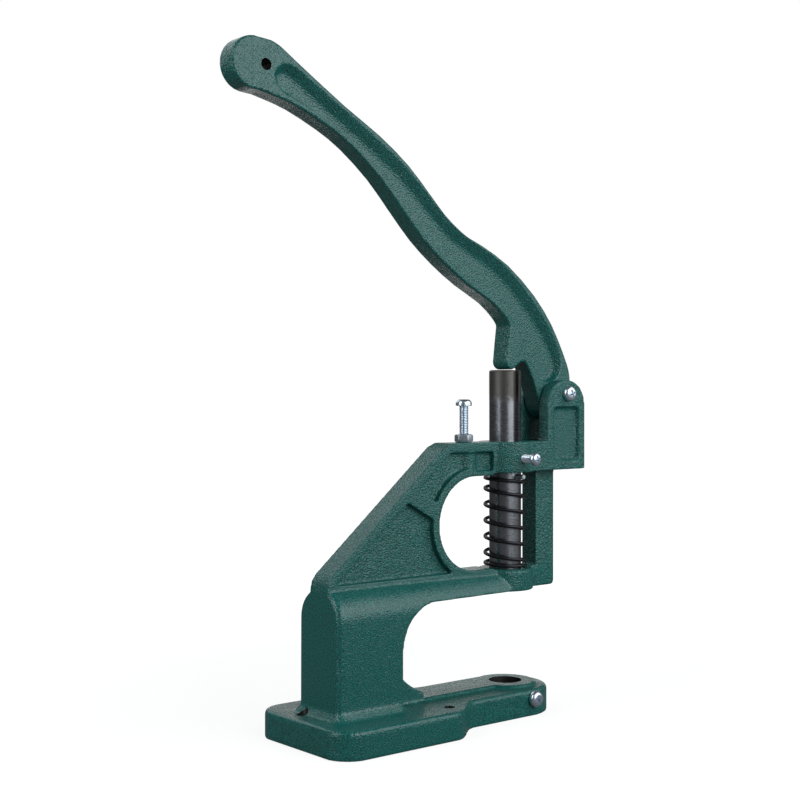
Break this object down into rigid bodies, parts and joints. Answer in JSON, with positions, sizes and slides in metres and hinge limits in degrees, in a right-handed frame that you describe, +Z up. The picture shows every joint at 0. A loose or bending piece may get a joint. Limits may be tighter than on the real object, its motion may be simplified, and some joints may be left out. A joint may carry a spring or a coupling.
{
  "type": "snap button press",
  "caption": "Hand press on one iron casting: a long lever pushes a sprung plunger down on the die hole in the base.",
  "frame": {"origin": "axis of the die hole, on the underside of the base", "axes": "+Z up along the die hole and the plunger, +X from the column towards the round nose of the base, +Y to the side away from the guide screw"},
  "size_m": [0.2615, 0.085, 0.3902],
  "materials": {
    "enamel": "glossy dark green pebbled enamel on cast iron",
    "ground_steel": "ground bare steel, darker at the upper end",
    "spring_steel": "black oiled spring wire",
    "zinc_steel": "bright bluish zinc plate"
  },
  "bodies": {
    "frame": {"frame_casting": "enamel", "guide_screw": "zinc_steel", "pivot_screw": "zinc_steel", "pivot_nut": "zinc_steel", "return_spring": "spring_steel"},
    "lever": {"lever": "enamel"},
    "plunger": {"plunger": "ground_steel", "spring_pin": "zinc_steel"},
    "stop_screw": {"stop_screw": "zinc_steel"},
    "stop_nut": {"stop_nut": "zinc_steel"},
    "die_clamp_screw": {"die_clamp_screw": "zinc_steel"}
  },
  "joints": [
    {"name": "lever_pivot", "type": "hinge", "parent": "frame", "child": "lever", "pos_m": [0.0404, 0, 0.1971], "axis": [0, -1, 0], "range_deg": [0, 46]},
    {"name": "plunger_slide", "type": "slide", "parent": "frame", "child": "plunger", "axis": [0, 0, -1], "range_m": [0, 0.0358], "stiffness_N_per_m": 1500, "springref_m": -0.021, "deforming": ["return_spring"]},
    {"name": "stop_screw_height", "type": "slide", "parent": "frame", "child": "stop_screw", "axis": [0, 0, -1], "range_m": [0, 0.008]},
    {"name": "stop_nut_height", "type": "slide", "parent": "frame", "child": "stop_nut", "axis": [0, 0, 1], "range_m": [0, 0.006]},
    {"name": "die_clamp", "type": "slide", "parent": "frame", "child": "die_clamp_screw", "axis": [0, -1, 0], "range_m": [0, 0.006]}
  ],
  "couplings": [
    {"joint": "plunger_slide", "follows": "lever_pivot", "m_per_rad": 0.0442}
  ]
}
